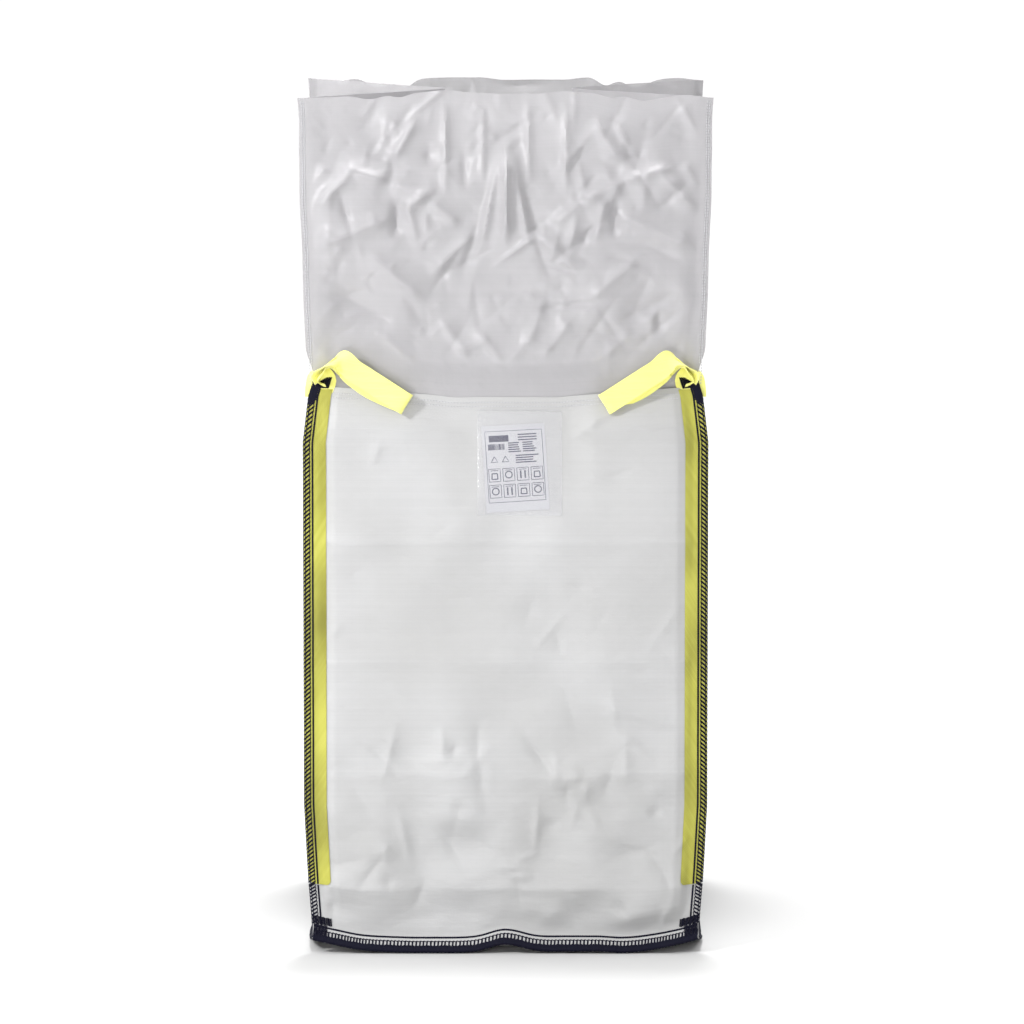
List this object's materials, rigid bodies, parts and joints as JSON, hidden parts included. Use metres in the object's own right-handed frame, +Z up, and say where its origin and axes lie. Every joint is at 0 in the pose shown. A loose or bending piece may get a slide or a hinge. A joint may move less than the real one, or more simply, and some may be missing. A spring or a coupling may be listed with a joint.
{
  "type": "bulk bag",
  "caption": "Woven bulk bag standing open on a square base, with a gusseted fill skirt, corner webbing lifting loops, overlocked seams and a hanging document pouch.",
  "frame": {"origin": "on the floor, under the middle of the bag", "axes": "+Z up, +X to the right of a viewer facing the front, the front panel faces -Y"},
  "size_m": [0.974, 0.9436, 2.027],
  "materials": {
    "woven_cloth": "matte woven polypropylene",
    "skirt_cloth": "thin translucent woven polypropylene with a film sheen",
    "webbing": "twill woven webbing",
    "navy_thread": "matte thread",
    "white_thread": "matte thread",
    "pouch_film": "clear film",
    "printed_paper": "matte paper"
  },
  "bodies": {
    "bag": {"front_panel": "woven_cloth", "rear_panel": "woven_cloth", "left_side_panel": "woven_cloth", "right_side_panel": "woven_cloth", "base_panel": "woven_cloth", "skirt_front": "skirt_cloth", "skirt_rear": "skirt_cloth", "skirt_left_gusset": "skirt_cloth", "skirt_right_gusset": "skirt_cloth", "front_left_belt": "webbing", "front_right_belt": "webbing", "rear_left_belt": "webbing", "rear_right_belt": "webbing", "front_left_side_belt": "webbing", "front_right_side_belt": "webbing", "rear_left_side_belt": "webbing", "rear_right_side_belt": "webbing", "front_left_overlock": "navy_thread", "front_right_overlock": "navy_thread", "rear_left_overlock": "navy_thread", "rear_right_overlock": "navy_thread", "front_left_chain_stitch": "navy_thread", "front_right_chain_stitch": "navy_thread", "rear_left_chain_stitch": "navy_thread", "rear_right_chain_stitch": "navy_thread", "front_left_top_bartack": "navy_thread", "front_right_top_bartack": "navy_thread", "rear_left_top_bartack": "navy_thread", "rear_right_top_bartack": "navy_thread", "front_left_base_bartack": "navy_thread", "front_right_base_bartack": "navy_thread", "rear_left_base_bartack": "navy_thread", "rear_right_base_bartack": "navy_thread", "front_base_overlock": "navy_thread", "rear_base_overlock": "navy_thread", "left_base_overlock": "navy_thread", "right_base_overlock": "navy_thread", "front_base_chain_stitch": "navy_thread", "rear_base_chain_stitch": "navy_thread", "left_base_chain_stitch": "navy_thread", "right_base_chain_stitch": "navy_thread", "front_hem_stitching": "white_thread", "rear_hem_stitching": "white_thread", "left_hem_stitching": "white_thread", "right_hem_stitching": "white_thread", "skirt_front_left_stitching": "white_thread", "skirt_front_right_stitching": "white_thread", "skirt_rear_left_stitching": "white_thread", "skirt_rear_right_stitching": "white_thread", "pouch_stitching": "white_thread"},
    "front_left_loop": {"front_left_loop": "webbing"},
    "front_right_loop": {"front_right_loop": "webbing"},
    "rear_left_loop": {"rear_left_loop": "webbing"},
    "rear_right_loop": {"rear_right_loop": "webbing"},
    "document_pouch": {"pouch_back_film": "pouch_film", "pouch_front_film": "pouch_film", "label_sheet": "printed_paper"}
  },
  "joints": [
    {"name": "front_left_loop_swing", "type": "hinge", "parent": "bag", "child": "front_left_loop", "pos_m": [-0.395, -0.4185, 1.393], "axis": [0, -1, 0], "range_deg": [0, 123]},
    {"name": "front_right_loop_swing", "type": "hinge", "parent": "bag", "child": "front_right_loop", "pos_m": [0.395, -0.4185, 1.393], "axis": [0, 1, 0], "range_deg": [0, 123]},
    {"name": "rear_left_loop_swing", "type": "hinge", "parent": "bag", "child": "rear_left_loop", "pos_m": [-0.395, 0.4185, 1.393], "axis": [0, -1, 0], "range_deg": [0, 123]},
    {"name": "rear_right_loop_swing", "type": "hinge", "parent": "bag", "child": "rear_right_loop", "pos_m": [0.395, 0.4185, 1.393], "axis": [0, 1, 0], "range_deg": [0, 123]},
    {"name": "pouch_swing", "type": "hinge", "parent": "bag", "child": "document_pouch", "pos_m": [0.033, -0.40377, 1.285], "axis": [-1, 0, 0], "range_deg": [0, 150]}
  ]
}
